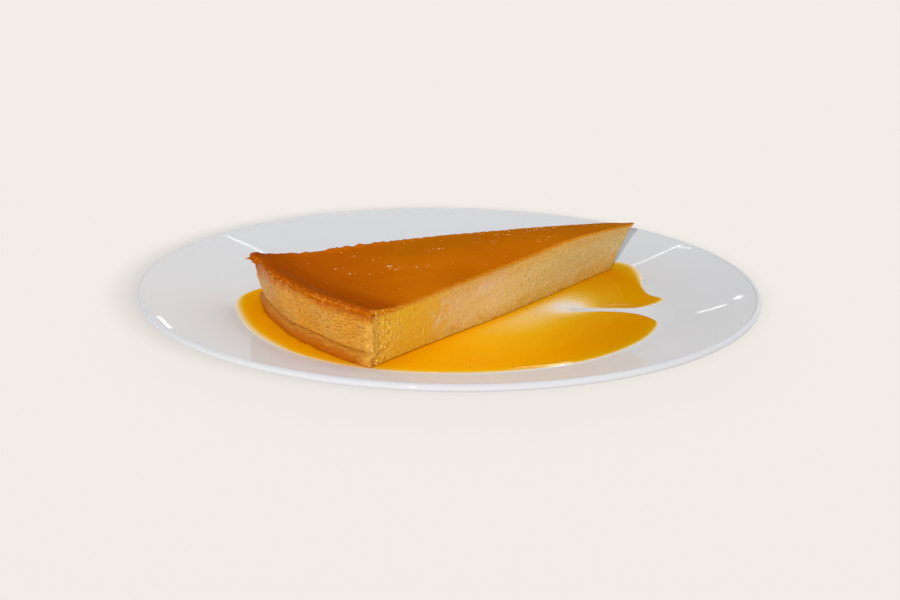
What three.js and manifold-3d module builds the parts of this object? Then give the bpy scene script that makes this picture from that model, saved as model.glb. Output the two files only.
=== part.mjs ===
// A slice of creme caramel flan on its round white plate, with the loose caramel that ran off it.
// Millimetres, +Z up. The origin is on the axis of the plate, in the plane its foot stands on.

import * as THREE from 'three';
import { mergeVertices } from 'three/addons/utils/BufferGeometryUtils.js';
import Module from 'manifold-3d';

// ---- driving dimensions --------------------------------------------------------------------

const contactGap = 0.3; // left between pieces that rest on or touch each other

const turnSteps = 96; // facets round the plate

// The plate: glazed white porcelain with a foot ring, a gently rising wall and a beaded lip.
const plateRadius = 110;
const plateHeight = 13;
const floorLevel = 4.2; // top of the flat floor
const floorRadius = 70; // where the floor starts to curve up into the wall
const wallBend = 45; // radius of that curve
const wallSlope = THREE.MathUtils.degToRad(13.3);
const wallThickness = 2.4;
const lipRadius = 1.15;
const lipWrap = THREE.MathUtils.degToRad(48); // how far the bead turns in past its crown
const footOuterRadius = 64;
const footWidth = 4;
const footRecess = 1.3; // how far the underside inside the foot ring is raised

// The slice: one twelfth or so of a 12 inch round, its tip overhanging and its back corner drawn in.
const tipPlace = [72.1, 47.0];
const sliceAxis = THREE.MathUtils.degToRad(216.1); // direction from the tip to the outer face
const sliceHalfAngle = THREE.MathUtils.degToRad(15.75);
const sliceLength = 154.5;
const sliceHeight = 19.3; // from the plate's floor to the top at the corners
const tipHalfWidth = 0.7;
const tipUndercut = [11.3, -1.6]; // how far the foot of the tip lies behind its top, along and across
const tipUndercutPower = 0.75; // under 1 leans the tip in most at its top
const backCornerShort = 3.5; // how much nearer the tip the back corner is than the front one
const backCornerUndercut = 4; // how far the foot of the back corner lies inside its top
const shortStart = 0.45; // share of the half width where both begin, towards the front
const shortPower = 1.4; // over 1 brings them in slowly

// Relief of the outer face: a foot layer that bulges, with a groove over it.
const footLayerHeight = 4.8;
const footLayerTilt = 0.25; // added at the front corner, taken off at the back one
const footBulge = 1.3;
const grooveDepth = 0.9;
const grooveWidth = 0.9;
const bellyRise = 0.4;

// Slow unevenness: how deep it is, and how fast it changes along, across and up the slice.
const outerFaceWave = { depth: 0.25, across: 9, up: 6 };
const cutFaceWave = { depth: 0.3, along: 11, across: 2, up: 4 };
const grooveWave = { depth: 0.3, across: 5.2 };

// The top: a low hump towards the tip, and a hollow inside the lip that the mould's wall left.
const humpRise = 0.9;
const humpTilt = 0.6; // added along the front cut, taken off along the back one
const tipDroop = 0.7;
const tipDroopReach = 9;
const humpCentre = 42;
const humpReach = 26;
const hollowDepth = 2.0;
const hollowTilt = -0.5;
const hollowCentre = 20; // in from the outer face
const hollowReach = 38;
const troughReach = 13; // a narrower trough along the middle of the hollow
const troughShare = 0.4; // of the hollow's depth
const lipWidth = 4.6;
const edgeRound = 0.5;
const cutEdgeRound = 0.15;
const cutEdgeShare = 0.03; // of the half width

// The caramel layer that soaked into the top, its overhang and the torn fin at the back corner.
const caramelThickness = 1.4;
const caramelEdgeThickness = 2.0;
const caramelEdgeReach = 5;
const caramelOverhang = 0.5;
const raggedEdge = { depth: 0.3, across: 21, below: 13 };
const finReach = 1.2;
const finDroop = 0.5;
const finStart = -0.76;
const finFull = -0.97;

// Steps of the grids: along, across and up.
const custardSteps = [20, 14, 12];
const caramelSteps = [28, 16, 2];
const stepCrowding = 1.7; // over 1 makes the steps finer towards the outer face

// The loose caramel: a pool as deep as this over the floor, held in by the curve of the plate.
const poolDepth = 1.1;
const poolFilm = 0.5; // depth of the film where the pool has run up the plate's wall
const poolRadius = 77.3;
// Where its round edge swells or draws in: direction from the axis in degrees, reach, amount.
const poolSwells = [[246, 22, 3.6], [303, 18, 1.3], [195, 14, -1]];
const poolEdgePoints = 110;

// ---- helpers -------------------------------------------------------------------------------

const { clamp, lerp, smoothstep } = THREE.MathUtils;

const bell = (distance, reach) => Math.exp(-((distance / reach) ** 2));

function arcPoints(centreX, centreY, radius, startAngle, endAngle, steps) {
  const points = [];
  for (let i = 0; i <= steps; i++) {
    const angle = lerp(startAngle, endAngle, i / steps);
    points.push(new THREE.Vector2(centreX + radius * Math.cos(angle), centreY + radius * Math.sin(angle)));
  }
  return points;
}

const wasm = await Module();
wasm.setup();

function toSolid(geometry) {
  const bare = geometry.clone();
  bare.deleteAttribute('normal');
  bare.deleteAttribute('uv');
  const merged = mergeVertices(bare, 1e-4);
  return new wasm.Manifold(new wasm.Mesh({
    numProp: 3,
    vertProperties: new Float32Array(merged.attributes.position.array),
    triVerts: new Uint32Array(merged.index.array),
  }));
}

function toGeometry(solid) {
  const mesh = solid.getMesh();
  const geometry = new THREE.BufferGeometry();
  geometry.setAttribute('position', new THREE.BufferAttribute(mesh.vertProperties, 3));
  geometry.setIndex(new THREE.BufferAttribute(mesh.triVerts, 1));
  geometry.computeVertexNormals();
  return geometry;
}

// ---- plate ---------------------------------------------------------------------------------

const up = Math.PI / 2;
const bendCentre = floorLevel + wallBend;

// Where the wall's upper face curves down into the floor, from the wall inwards.
const innerBend = arcPoints(floorRadius, bendCentre, wallBend, -up + wallSlope, -up, 5);

function revolve(section) {
  const geometry = new THREE.LatheGeometry(section, turnSteps);
  geometry.rotateX(up);
  return geometry;
}

// The plate's half section, from the axis under the floor, round the lip and back to the axis.
function plateGeometry() {
  const outerBend = arcPoints(floorRadius, bendCentre, wallBend + wallThickness, -up, -up + wallSlope, 4);
  const lipAcross = plateRadius - lipRadius;
  const lipLevel = plateHeight - lipRadius;
  const bead = arcPoints(lipAcross, lipLevel, lipRadius, -up + wallSlope, up + lipWrap, 8);
  return revolve([
    new THREE.Vector2(0, footRecess),
    new THREE.Vector2(footOuterRadius - footWidth - footRecess, footRecess),
    new THREE.Vector2(footOuterRadius - footWidth, 0),
    new THREE.Vector2(footOuterRadius, 0),
    new THREE.Vector2(footOuterRadius + footRecess, floorLevel - wallThickness),
    ...outerBend,
    ...bead,
    ...innerBend,
    new THREE.Vector2(0, floorLevel),
  ]);
}

// Everything under the plate's upper face, lifted. What lies on the plate is cut to this.
function underPlateFace(lift) {
  const wallReach = plateRadius - 2 * lipRadius;
  const wallRise = (wallReach - innerBend[0].x) * Math.tan(wallSlope);
  const geometry = revolve([
    new THREE.Vector2(0, -plateHeight),
    new THREE.Vector2(wallReach, -plateHeight),
    new THREE.Vector2(wallReach, innerBend[0].y + wallRise),
    ...innerBend,
    new THREE.Vector2(0, floorLevel),
  ]);
  geometry.translate(0, 0, lift);
  return geometry;
}

// ---- slice ---------------------------------------------------------------------------------
// The slice is worked out in its own frame: its tip is the origin, +X runs to the middle of the
// outer face, +Y to the front cut face, and Z = 0 is the plate's floor. along goes from 0 at the
// tip to 1 at the outer face, across from -1 at the back cut face to 1 at the front one.

function topHeight(along, across) {
  const fromTip = along * sliceLength;
  const fromEdge = sliceLength - fromTip;
  const hump = (humpRise + humpTilt * across) * bell(fromTip - humpCentre, humpReach);
  const droop = tipDroop * bell(fromTip, tipDroopReach);
  const wide = (1 - troughShare) * bell(fromEdge - hollowCentre, hollowReach);
  const narrow = troughShare * bell(fromEdge - hollowCentre, troughReach);
  const insideLip = 1 - bell(fromEdge, lipWidth);
  const hollow = (hollowDepth + hollowTilt * across) * (wide + narrow) * insideLip;
  const outerRounding = edgeRound * bell(fromEdge, edgeRound);
  const cutRounding = cutEdgeRound * bell(1 - Math.abs(across), cutEdgeShare);
  return sliceHeight + hump - droop - hollow - outerRounding - cutRounding;
}

// How far the outer face stands off the slice's length at this height: foot layer, groove, belly.
function outerRelief(across, share) {
  const height = share * sliceHeight;
  const uneven = grooveWave.depth * Math.sin(grooveWave.across * across);
  const grooveLevel = footLayerHeight + footLayerTilt * across + uneven;
  const foot = footBulge * (1 - smoothstep(height, grooveLevel - 2 * grooveWidth, grooveLevel + grooveWidth));
  const groove = grooveDepth * bell(height - grooveLevel, grooveWidth);
  const belly = bellyRise * Math.sin(Math.PI * share);
  const wave = outerFaceWave.depth * Math.sin(outerFaceWave.across * across + outerFaceWave.up * share);
  return foot - groove + belly + wave;
}

function fin(across) {
  return 1 - smoothstep(across, finFull, finStart);
}

// A point of the slice in plan, at this share of its height. overhang widens the outer face.
function planPoint(along, across, share, overhang, grow) {
  const below = 1 - clamp(share, 0, 1);
  const tipBack = below ** tipUndercutPower;
  const backward = clamp((shortStart - across) / (1 + shortStart), 0, 1) ** shortPower;
  const reach = sliceLength - backward * (backCornerShort + backCornerUndercut * below) + overhang + grow;
  const angle = across * sliceHalfAngle;
  const wavePhase = cutFaceWave.along * along + cutFaceWave.across * across + cutFaceWave.up * share;
  const cutWave = cutFaceWave.depth * Math.sin(wavePhase) * Math.sin(Math.PI * along);
  const sideways = across * (grow / Math.cos(sliceHalfAngle) + cutWave);
  const tipX = tipUndercut[0] * tipBack - grow;
  const tipY = tipUndercut[1] * tipBack + across * tipHalfWidth;
  return [
    lerp(tipX, reach * Math.cos(angle), along),
    lerp(tipY, reach * Math.sin(angle), along) + sideways,
  ];
}

// A closed block of the slice between two heights. Its grid is finer towards the outer face and
// towards both cut faces, where the lip and the edges are.
function sliceBlock({ steps, bottomOf, topOf, overhangOf, grow = 0 }) {
  const geometry = new THREE.BoxGeometry(1, 2, 1, ...steps);
  const position = geometry.attributes.position;
  for (let i = 0; i < position.count; i++) {
    const along = 1 - (0.5 - position.getX(i)) ** stepCrowding;
    const across = Math.sin(position.getY(i) * Math.PI / 2);
    const rise = position.getZ(i) + 0.5;
    const height = lerp(bottomOf(along, across), topOf(along, across), rise);
    const share = height / sliceHeight;
    const overhang = overhangOf(along, across, share, rise);
    const [x, y] = planPoint(along, across, share, overhang, grow);
    position.setXYZ(i, x, y, height);
  }
  return geometry;
}

function caramelDepth(along, across) {
  const atEdge = bell((1 - along) * sliceLength, caramelEdgeReach);
  const ragged = raggedEdge.depth * Math.sin(raggedEdge.below * across);
  return caramelThickness + atEdge * (caramelEdgeThickness - caramelThickness + ragged);
}

function custardBlock(grow) {
  return sliceBlock({
    steps: custardSteps,
    bottomOf: () => 0,
    topOf: (along, across) => topHeight(along, across) - caramelDepth(along, across) - contactGap,
    overhangOf: (along, across, share) => outerRelief(across, share),
    grow,
  });
}

// The custard's foot follows the plate, which is turned into the slice's frame to cut it.
function custardGeometry() {
  const plateFace = underPlateFace(contactGap);
  plateFace.translate(-tipPlace[0], -tipPlace[1], -floorLevel);
  plateFace.rotateZ(-sliceAxis);
  return toGeometry(toSolid(custardBlock(0)).subtract(toSolid(plateFace)));
}

function caramelTopGeometry() {
  return sliceBlock({
    steps: caramelSteps,
    bottomOf: (along, across) => topHeight(along, across) - caramelDepth(along, across),
    topOf: (along, across) => {
      const fromEdge = (1 - along) * sliceLength;
      return topHeight(along, across) - finDroop * fin(across) * bell(fromEdge, caramelEdgeReach);
    },
    overhangOf: (along, across, share, rise) => {
      const ragged = raggedEdge.depth * Math.sin(raggedEdge.across * across);
      return caramelOverhang + ragged + finReach * fin(across) * rise;
    },
  });
}

// ---- pool ----------------------------------------------------------------------------------

// The edge of the pool. It follows the curve of the plate from the back left round the front, then
// breaks into two lobes on the right with a bare channel between them, and runs on behind the slice.
function poolOutline() {
  const points = [];
  for (let degrees = 186; degrees <= 330; degrees += 12) {
    const swells = poolSwells.map(([at, reach, amount]) => amount * bell(degrees - at, reach));
    const edgeRadius = swells.reduce((sum, swell) => sum + swell, poolRadius);
    const angle = THREE.MathUtils.degToRad(degrees);
    points.push([edgeRadius * Math.cos(angle), edgeRadius * Math.sin(angle)]);
  }
  const frontLobe = [[71.2, -22.4], [66, -16.4], [55, -14.4], [44, -15.4], [37.6, -14.6]];
  const backLobe = [[37.6, -11.4], [46, -10.4], [57, -9.4], [68, -7.8], [77.6, 1.8], [73.6, 9.5], [72.8, 21]];
  const roundTip = [[74, 34], [71, 46], [64, 51.5], [54, 50]];
  const behind = [[36, 42.5], [12, 33.5], [-14, 25], [-40, 18.5], [-60, 15.5], [-70.5, 10], [-75.6, 1.5]];
  points.push(...frontLobe, ...backLobe, ...roundTip, ...behind);
  const places = points.map(([x, y]) => new THREE.Vector3(x, y, 0));
  const edge = new THREE.CatmullRomCurve3(places, true, 'centripetal');
  return new THREE.Shape(edge.getPoints(poolEdgePoints).slice(0, -1).map((p) => new THREE.Vector2(p.x, p.y)));
}

// The pool is level, apart from a film on the wall. It is cut to the plate and round the slice.
function poolGeometry() {
  const slab = (depth) => {
    const geometry = new THREE.ExtrudeGeometry(poolOutline(), { depth, bevelEnabled: false });
    geometry.translate(0, 0, floorLevel);
    return toSolid(geometry);
  };
  const film = slab(3 * poolDepth).intersect(toSolid(underPlateFace(contactGap + poolFilm)));
  const sliceFoot = custardBlock(contactGap);
  sliceFoot.rotateZ(sliceAxis);
  sliceFoot.translate(tipPlace[0], tipPlace[1], floorLevel - contactGap);
  const pool = slab(poolDepth).add(film).subtract(toSolid(underPlateFace(contactGap)));
  return toGeometry(pool.subtract(toSolid(sliceFoot)));
}

// ---- assembly ------------------------------------------------------------------------------

function piece(name, geometry, color, roughness) {
  const material = new THREE.MeshStandardMaterial({ color, roughness, metalness: 0 });
  const mesh = new THREE.Mesh(geometry, material);
  mesh.name = name;
  return mesh;
}

const flan = new THREE.Group();

flan.add(piece('plate', plateGeometry(), 0xe4e7ec, 0.12));

const slice = new THREE.Group();
slice.position.set(tipPlace[0], tipPlace[1], floorLevel);
slice.rotation.z = sliceAxis;
slice.add(piece('custard', custardGeometry(), 0xd9a560, 0.5));
slice.add(piece('caramel_top', caramelTopGeometry(), 0xb05e08, 0.25));
flan.add(slice);

flan.add(piece('caramel_sauce', poolGeometry(), 0xeba00c, 0.08));

export default flan;
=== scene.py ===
import math
import random

import bmesh
import bpy
import numpy as np
from mathutils import Matrix, Vector, noise


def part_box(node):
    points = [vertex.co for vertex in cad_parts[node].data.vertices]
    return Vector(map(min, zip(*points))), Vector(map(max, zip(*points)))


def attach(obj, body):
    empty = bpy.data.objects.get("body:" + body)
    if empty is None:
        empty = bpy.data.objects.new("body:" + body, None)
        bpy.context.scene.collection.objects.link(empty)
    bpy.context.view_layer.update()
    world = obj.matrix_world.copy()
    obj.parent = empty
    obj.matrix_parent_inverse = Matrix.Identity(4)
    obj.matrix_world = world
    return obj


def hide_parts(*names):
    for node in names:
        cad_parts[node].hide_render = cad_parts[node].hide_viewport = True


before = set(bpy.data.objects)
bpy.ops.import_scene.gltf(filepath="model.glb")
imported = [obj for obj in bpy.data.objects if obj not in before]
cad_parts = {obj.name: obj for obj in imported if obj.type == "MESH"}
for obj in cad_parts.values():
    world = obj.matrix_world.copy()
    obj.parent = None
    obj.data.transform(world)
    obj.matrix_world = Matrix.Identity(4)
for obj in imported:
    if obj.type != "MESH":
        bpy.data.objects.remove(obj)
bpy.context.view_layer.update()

# ---- Plate -------------------------------------------------------------------------------
# A shallow dessert plate of white porcelain, pressed over a turning mould: a flat floor, a
# wall that curves up and then runs straight out, a beaded lip and a foot ring. It is dipped
# in clear glaze and fired; the foot ring it stood on in the kiln is wiped bare.

mm = 0.001
plate_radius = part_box("plate")[1].x
plate_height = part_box("plate")[1].z
floor_level = 4.2 * mm
floor_radius = 70 * mm
wall_bend = 45 * mm
wall_slope = math.radians(13.3)
wall_thickness = 2.4 * mm
lip_radius = 1.15 * mm
lip_wrap = math.radians(48)
foot_radius = 64 * mm
foot_width = 4 * mm
foot_recess = 1.3 * mm
wall_steps = 14
floor_steps = 8
plate_turn_steps = 240
worn_radius = 76 * mm  # where stacked plates and spoons rub the glaze
glaze_shades = ((0.465, 0.470, 0.485), (0.485, 0.492, 0.505))
# Painted light: a lighter glaze colour on the lip's bead, for its bright band.
lip_painted_light = (0.49, 0.495, 0.52)
iron_speck = (0.36, 0.34, 0.32)
bare_clay = (0.52, 0.47, 0.40)


def arc(centre_x, centre_z, radius, start, end, steps):
    """Points of an arc in the plane of the half section, from one angle to another."""
    points = []
    for step in range(steps + 1):
        angle = start + (end - start) * step / steps
        points.append(Vector((centre_x + radius * math.cos(angle), 0, centre_z + radius * math.sin(angle))))
    return points


def plate_section():
    """The half section, from the axis under the floor, round the lip and back to the axis."""
    down = -math.pi / 2
    bend_centre = floor_level + wall_bend
    outer_bend = arc(floor_radius, bend_centre, wall_bend + wall_thickness, down, down + wall_slope, 10)
    bead_centre = (plate_radius - lip_radius, plate_height - lip_radius)
    bead = arc(*bead_centre, lip_radius, down + wall_slope, math.pi / 2 + lip_wrap, 20)
    inner_bend = arc(floor_radius, bend_centre, wall_bend, down + wall_slope, down, 14)
    # The wall's first and last points lie close to its bends, so that it shades as straight.
    shares = [0.006] + [step / wall_steps for step in range(1, wall_steps)]
    wall = [bead[-1].lerp(inner_bend[0], share) for share in shares]
    wall.append(wall[-1].lerp(inner_bend[0], 0.9))
    ring_in = foot_radius - foot_width
    foot = [
        Vector((0, 0, foot_recess)),
        Vector((ring_in - foot_recess, 0, foot_recess)),
        Vector((ring_in - 0.2 * foot_recess, 0, 0.25 * foot_recess)),
        Vector((ring_in + 0.3 * foot_recess, 0, 0)),
        Vector((foot_radius - 0.3 * foot_recess, 0, 0)),
        Vector((foot_radius + 0.2 * foot_recess, 0, 0.3 * foot_recess)),
        Vector((foot_radius + foot_recess, 0, floor_level - wall_thickness)),
    ]
    floor = []
    for step in range(1, floor_steps + 1):
        floor.append(Vector((floor_radius * (1 - step / floor_steps), 0, floor_level)))
    return foot + outer_bend + bead + wall + inner_bend + floor


def finish_mesh(bm, name):
    """Makes the bmesh an object at the origin, with its faces turned outwards."""
    bmesh.ops.recalc_face_normals(bm, faces=bm.faces)
    for face in bm.faces:
        face.smooth = True
    mesh = bpy.data.meshes.new(name)
    bm.to_mesh(mesh)
    bm.free()
    piece = bpy.data.objects.new(name, mesh)
    bpy.context.scene.collection.objects.link(piece)
    return piece


def node(tree, kind, inputs=None, **settings):
    """Adds a shader node. An input given as a socket is linked, any other is set."""
    made = tree.nodes.new(kind)
    for key, value in settings.items():
        setattr(made, key, value)
    for key, value in (inputs or {}).items():
        if isinstance(value, bpy.types.NodeSocket):
            tree.links.new(value, made.inputs[key])
        else:
            made.inputs[key].default_value = value
    return made


def new_material(name, **sockets):
    """A material with one Principled shader, whose plain sockets are set here, and the place."""
    material = bpy.data.materials.new(name)
    material.use_nodes = True
    tree = material.node_tree
    shader = tree.nodes["Principled BSDF"]
    for key, value in sockets.items():
        shader.inputs[key.replace("_", " ")].default_value = value
    return material, tree, shader, node(tree, "ShaderNodeTexCoord").outputs["Object"]


def mix_colour(tree, factor, first, second):
    """A colour between two, each a socket or a colour."""
    made = node(tree, "ShaderNodeMix", data_type="RGBA")
    for socket, value in ((made.inputs[0], factor), (made.inputs[6], first), (made.inputs[7], second)):
        if isinstance(value, bpy.types.NodeSocket):
            tree.links.new(value, socket)
        elif isinstance(value, (tuple, list)):
            socket.default_value = (*value, 1)
        else:
            socket.default_value = value
    return made.outputs[2]


def spread(tree, value, low, high, to_low=0.0, to_high=1.0):
    """Stretches a value smoothly from one range to another."""
    inputs = {"Value": value, "From Min": low, "From Max": high, "To Min": to_low, "To Max": to_high}
    return node(tree, "ShaderNodeMapRange", inputs, interpolation_type="SMOOTHSTEP").outputs[0]


def reckon(tree, operation, first, second=0.0):
    """One step of sums on one or two values."""
    return node(tree, "ShaderNodeMath", {0: first, 1: second}, operation=operation).outputs[0]


def grain(tree, place, scale, detail=3, roughness=0.6):
    """Cloudy noise, about 0 to 1, with about that many waves to a metre."""
    inputs = {"Vector": place, "Scale": scale, "Detail": detail, "Roughness": roughness}
    return node(tree, "ShaderNodeTexNoise", inputs).outputs[0]


def bumped(tree, height, strength, distance, **under):
    """The way the surface faces once a fine height is laid on it."""
    inputs = {"Height": height, "Strength": strength, "Distance": distance, **under}
    return node(tree, "ShaderNodeBump", inputs).outputs[0]


def level_part(tree, place):
    """The place without its height."""
    return node(tree, "ShaderNodeVectorMath", {0: place, 1: (1, 1, 0)}, operation="MULTIPLY").outputs[0]


def plate_glaze():
    gloss = {"Specular_IOR_Level": 0.0, "Coat_Roughness": 0.03}
    material, tree, shader, place = new_material("plate_glaze", **gloss)
    glaze = mix_colour(tree, grain(tree, place, 24, 4, 0.5), *glaze_shades)
    grit = node(tree, "ShaderNodeTexVoronoi", {"Vector": place, "Scale": 260}, feature="F1")
    speck = spread(tree, grit.outputs["Distance"], 0.02, 0.05, 1, 0)
    rare = spread(tree, grit.outputs["Color"], 0.93, 0.96)
    glaze = mix_colour(tree, reckon(tree, "MULTIPLY", speck, rare), glaze, iron_speck)
    height = node(tree, "ShaderNodeSeparateXYZ", {"Vector": place}).outputs[2]
    from_axis = node(tree, "ShaderNodeVectorMath", {0: level_part(tree, place)}, operation="LENGTH")
    radius = from_axis.outputs["Value"]
    # Painted light: the bead gets the lighter lip colour.
    on_lip = spread(tree, radius, plate_radius - 1.4 * lip_radius, plate_radius - 0.6 * lip_radius)
    glaze = mix_colour(tree, on_lip, glaze, lip_painted_light)
    bare = spread(tree, height, 0.1 * mm, 0.3 * mm, 1, 0)
    tree.links.new(mix_colour(tree, bare, glaze, bare_clay), shader.inputs["Base Color"])
    polish = spread(tree, grain(tree, place, 60, 6, 0.7), 0.35, 0.75, 0.02, 0.055)
    tree.links.new(reckon(tree, "MAXIMUM", polish, bare), shader.inputs["Roughness"])
    from_bend = reckon(tree, "ABSOLUTE", reckon(tree, "SUBTRACT", radius, worn_radius))
    glossy = spread(tree, from_bend, 2.5 * mm, 6 * mm, 0.05, 0.36)
    glossy = reckon(tree, "MAXIMUM", reckon(tree, "SUBTRACT", glossy, bare))
    tree.links.new(glossy, shader.inputs["Coat Weight"])
    ripple = bumped(tree, grain(tree, place, 35, 1, 0.5), 0.02, 0.4 * mm)
    tree.links.new(ripple, shader.inputs["Normal"])
    tree.links.new(ripple, shader.inputs["Coat Normal"])
    return material


plate_bm = bmesh.new()
section = [plate_bm.verts.new(point) for point in plate_section()]
section_edges = [plate_bm.edges.new(pair) for pair in zip(section, section[1:])]
bmesh.ops.spin(
    plate_bm,
    geom=section + section_edges,
    cent=(0, 0, 0),
    axis=(0, 0, 1),
    angle=2 * math.pi,
    steps=plate_turn_steps,
    use_merge=True,
)
bmesh.ops.remove_doubles(plate_bm, verts=plate_bm.verts, dist=0.002 * mm)
plate = finish_mesh(plate_bm, "porcelain_plate")
plate.data.materials.append(plate_glaze())
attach(plate, "root")
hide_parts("plate")

# ---- Custard -----------------------------------------------------------------------------
# The body of the wedge: eggs, milk and sugar baked in a round tin in a water bath, then cut
# with a knife. The cuts show fine pores and drag marks, and the outer face is the skin that
# set against the tin, with small flat pits, a groove and a foot layer that bulges under it.

tip_place = Vector((72.1 * mm, 47.0 * mm, floor_level))
slice_axis = math.radians(216.1)
slice_half_angle = math.radians(15.75)
slice_length = 154.5 * mm
slice_height = 19.3 * mm
tip_half_width = 0.7 * mm
tip_undercut = (11.3 * mm, -1.6 * mm)
tip_undercut_power = 0.75
back_corner_short = 3.5 * mm
back_corner_undercut = 4 * mm
short_start = 0.45
short_power = 1.4
foot_layer_height = 4.8 * mm
foot_layer_tilt = 0.25 * mm
foot_bulge = 1.3 * mm
groove_depth = 0.9 * mm
groove_width = 0.6 * mm
belly_rise = 0.4 * mm
hump_rise = 0.9 * mm
hump_tilt = 0.6 * mm
tip_droop = 0.7 * mm
tip_droop_reach = 9 * mm
hump_centre = 42 * mm
hump_reach = 26 * mm
hollow_depth = 2.0 * mm
hollow_tilt = -0.5 * mm
hollow_centre = 20 * mm
hollow_reach = 38 * mm
trough_reach = 13 * mm
trough_share = 0.4
lip_width = 4.6 * mm
edge_round = 0.5 * mm
cut_edge_round = 0.15 * mm
cut_edge_share = 0.03
caramel_thickness = 0.9 * mm
caramel_edge_thickness = 1.6 * mm
caramel_edge_reach = 5 * mm
fin_droop = 0.5 * mm
fin_depth = 2.6 * mm
fin_start = -0.76
fin_full = -0.97
pool_depth = 1.1 * mm
face_half_width = 42.5 * mm
front_crag = 0.4  # height in millimetres of the lumps by the outer corners
back_crag = 0.9  # the same, on the outer face at its back corner
wide_pit = 0.30  # depth in millimetres, as the three below it
small_pit = 0.14
wide_pore = 0.22
small_pore = 0.12
cut_shades = ((0.675, 0.472, 0.305), (0.64, 0.425, 0.145))
tip_shades = ((0.53, 0.380, 0.125), (0.545, 0.355, 0.090))
tea_stain = (0.60, 0.315, 0.045)
syrup_stain = (0.54, 0.285, 0.014)
corner_stain = (0.65, 0.345, 0.009)
# Pale curd, and painted glints.
pale_curd_and_glint = ((0.77, 0.56, 0.27), (0.76, 0.44, 0.045))
dull_blotch = (0.50, 0.245, 0.03)
skin_shades = ((0.49, 0.236, 0.036), (0.53, 0.222, 0.016))
back_skin = (0.455, 0.285, 0.115)
skin_mottle = ((0.60, 0.34, 0.06), (0.62, 0.41, 0.16))
skin_dash = (0.34, 0.105, 0.002)
# Painted light on raised lumps, and painted shade in the hollows between them.
lit_lump_curd = (0.74, 0.42, 0.075)
shaded_hollow_curd = (0.57, 0.24, 0.008)
# Painted shade in the pores.
pore_painted_shade = (0.36, 0.14, 0.012)
foot_shades = ((0.37, 0.072, 0.0003), (0.39, 0.105, 0.0015))
foot_ledge = (0.48, 0.185, 0.016)
foot_curd = (0.55, 0.23, 0.02)
crease_painted_shade = (0.33, 0.105, 0.002)
# Painted light along the front corner.
corner_painted_light = (0.66, 0.36, 0.055)
faint_soak = ((0.60, 0.26, 0.02), (0.43, 0.135, 0.003))  # on the cut and on the skin
full_soak = ((0.56, 0.185, 0.0035), (0.36, 0.080, 0.0008))
soaked_curd = (0.60, 0.245, 0.025)
to_plate = Matrix.Translation(tip_place) @ Matrix.Rotation(slice_axis, 4, "Z")


def clamp(value, low=0.0, high=1.0):
    return max(low, min(high, value))


def lerp(first, second, share):
    return first + (second - first) * share


def smoothstep(value, low, high):
    share = clamp((value - low) / (high - low))
    return share * share * (3 - 2 * share)


def bell(distance, reach):
    return math.exp(-((distance / reach) ** 2))


def wander(x, y, z=0.0, octaves=3):
    """Uneven value, about -1 to 1, that wanders over a place given in its own lengths."""
    return noise.fractal(Vector((x, y, z)), 1.0, 2.0, octaves)


def pits(x, y, z, share):
    """Depth, 0 to 1, of scattered round pits; that share of the cells has one."""
    distances, centres = noise.voronoi(Vector((x, y, z)))
    chosen = noise.cell(centres[0] * 5.3) < share
    return smoothstep(distances[0], 0.42, 0.08) if chosen else 0.0


def fin(across):
    """How much of the torn fin there is here: all of it at the back corner."""
    return 1 - smoothstep(across, fin_full, fin_start)


def at_skin(along):
    """1 on the outer face and 0 on the cuts."""
    return smoothstep(along, 0.985, 1.0)


def top_height(along, across):
    """Height of the wedge over the plate's floor; along runs from the tip, across from cut to cut."""
    from_tip = along * slice_length
    from_edge = slice_length - from_tip
    hump = (hump_rise + hump_tilt * across) * bell(from_tip - hump_centre, hump_reach)
    droop = tip_droop * bell(from_tip, tip_droop_reach)
    wide = (1 - trough_share) * bell(from_edge - hollow_centre, hollow_reach)
    narrow = trough_share * bell(from_edge - hollow_centre, trough_reach)
    inside_lip = 1 - bell(from_edge, lip_width)
    hollow = (hollow_depth + hollow_tilt * across) * (wide + narrow) * inside_lip
    outer_rounding = edge_round * bell(from_edge, edge_round)
    cut_rounding = cut_edge_round * bell(1 - abs(across), cut_edge_share)
    low_fin = fin_droop * fin(across) * bell(from_edge, caramel_edge_reach)
    dents = 0.14 * mm * wander(40 * across, 3, 5) * bell(from_edge, 2 * mm)
    return slice_height + hump - droop - hollow - outer_rounding - cut_rounding - low_fin + dents


def caramel_depth(along, across):
    """How deep the dark caramel reaches here. Its lower limit is ragged at the outer face."""
    at_edge = bell((1 - along) * slice_length, caramel_edge_reach)
    width = across * slice_length * slice_half_angle / mm
    from_tip = along * slice_length / mm
    ragged = 0.55 * wander(0.33 * width, 0.2, 1.7) + 0.35 * wander(1.1 * width, 0.2, 4.2)
    cut_ragged = 0.22 * wander(0.25 * from_tip, across, 8.1) + 0.12 * wander(1.3 * from_tip, across, 2.2)
    depth = caramel_thickness + at_edge * (caramel_edge_thickness - caramel_thickness)
    depth += fin_depth * fin(across) * at_edge
    return depth + (ragged * at_edge + cut_ragged * (1 - at_edge)) * mm


def stain_depth(along, across):
    """How deep below the top the caramel stained the custard dark."""
    width = across * slice_length * slice_half_angle / mm
    ragged = 0.45 * wander(0.33 * width, 0.2, 1.7) + 0.3 * wander(1.1 * width, 0.2, 4.2)
    skin_soak = 3.3 - 1.1 * bell(across - 0.2, 0.2) + 1.3 * smoothstep(-across, 0.1, 0.6) + 1.6 * ragged
    skin_soak += 1.8 * smoothstep(-across, 0.55, 0.85)
    cut_soak = 0.25 + 1.5 * smoothstep(along, 0.84, 0.97)
    return lerp(cut_soak, skin_soak, at_skin(along)) * mm


def groove_level(across):
    """Height of the groove over the foot layer, which runs a little uneven."""
    return foot_layer_height + foot_layer_tilt * across + 0.3 * mm * math.sin(5.2 * across)


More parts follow.
